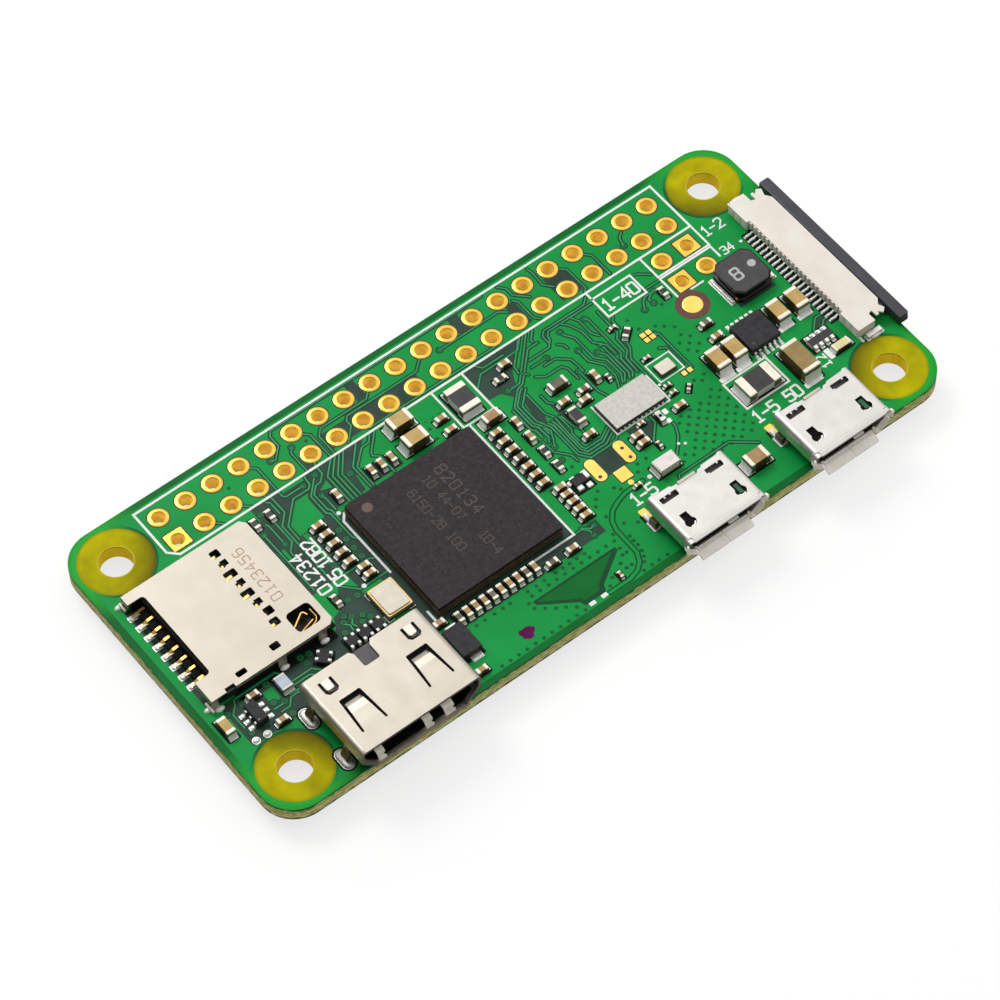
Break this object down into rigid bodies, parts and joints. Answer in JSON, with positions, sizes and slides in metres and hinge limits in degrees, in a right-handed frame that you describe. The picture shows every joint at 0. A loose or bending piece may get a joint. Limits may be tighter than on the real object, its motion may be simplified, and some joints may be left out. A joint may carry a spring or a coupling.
{
  "type": "single board computer",
  "caption": "Bare rectangular computer board with screw holes at its corners, a two-row pin header footprint, card, video, power and ribbon cable sockets and a stacked processor.",
  "frame": {"origin": "centre of the board outline, on the underside of the board", "axes": "+X towards the ribbon cable connector, along the long edge; +Y towards the two-row header footprint; +Z out of the component side"},
  "size_m": [0.0656, 0.0312, 0.0049],
  "materials": {
    "board_green": "semi-gloss solder mask over copper",
    "package_brown": "laminate edge",
    "package_charcoal": "fine-grained moulded epoxy",
    "warm_steel": "satin nickel-plated sheet",
    "bright_steel": "bright nickel-plated sheet",
    "gold": "gold flash on copper alloy",
    "black_moulding": "moulded polymer",
    "cream_moulding": "moulded polymer",
    "slate_moulding": "moulded polymer",
    "tin": "tinned metal",
    "ferrite": "coated ferrite",
    "capacitor_tan": "bare ceramic between tinned ends",
    "lid_metal": "satin metal lid",
    "crystal_ceramic": "ceramic body",
    "filter_ceramic": "pale ceramic",
    "led_yellow": "clear pale resin",
    "chip_black": "moulded epoxy"
  },
  "bodies": {
    "board": {"activity_led": "led_yellow", "bypass_row_below": "capacitor_tan", "bypass_row_left": "capacitor_tan", "bypass_row_lower_right": "capacitor_tan", "bypass_row_right": "capacitor_tan", "bypass_row_upper": "capacitor_tan", "core_capacitor_a": "capacitor_tan", "core_capacitor_b": "capacitor_tan", "core_capacitor_c": "capacitor_tan", "esd_array_a": "chip_black", "esd_array_b": "chip_black", "esd_array_c": "chip_black", "esd_array_d": "chip_black", "fpc_anchor_lower": "tin", "fpc_anchor_upper": "tin", "fpc_contacts": "tin", "fpc_housing": "cream_moulding", "hdmi_contacts": "gold", "hdmi_diode": "chip_black", "hdmi_fuse": "chip_black", "hdmi_insulator": "black_moulding", "hdmi_shell": "warm_steel", "inductor_core": "ferrite", "inductor_terminal_left": "tin", "inductor_terminal_right": "tin", "input_capacitor": "capacitor_tan", "main_crystal_base": "crystal_ceramic", "main_crystal_lid": "lid_metal", "pcb": "board_green", "power_contacts": "gold", "power_fuse": "chip_black", "power_insulator": "black_moulding", "power_shell": "bright_steel", "radio_chip": "lid_metal", "radio_crystal_base": "crystal_ceramic", "radio_crystal_lid": "lid_metal", "ram_package": "package_charcoal", "regulator_capacitor_a": "capacitor_tan", "regulator_capacitor_b": "capacitor_tan", "regulator_capacitor_c": "capacitor_tan", "regulator_capacitor_d": "capacitor_tan", "regulator_chip": "chip_black", "regulator_leads_lower": "tin", "regulator_leads_upper": "tin", "sd_contacts": "gold", "sd_detect_contact": "gold", "sd_housing": "black_moulding", "sd_regulator": "chip_black", "sd_regulator_leads": "tin", "sd_shell": "warm_steel", "soc_package": "package_brown", "usb_capacitor": "capacitor_tan", "usb_contacts": "gold", "usb_filter": "filter_ceramic", "usb_insulator": "black_moulding", "usb_shell": "bright_steel"},
    "latch": {"fpc_latch": "slate_moulding"},
    "detect_lever": {"sd_detect_lever": "gold"}
  },
  "joints": [
    {"name": "latch_slide", "type": "slide", "parent": "board", "child": "latch", "axis": [1, 0, 0], "range_m": [0, 0.0012]},
    {"name": "detect_swing", "type": "hinge", "parent": "board", "child": "detect_lever", "pos_m": [-0.0222, -0.00232, 0.0022], "axis": [0, 0, 1], "range_deg": [-12, 0]}
  ]
}
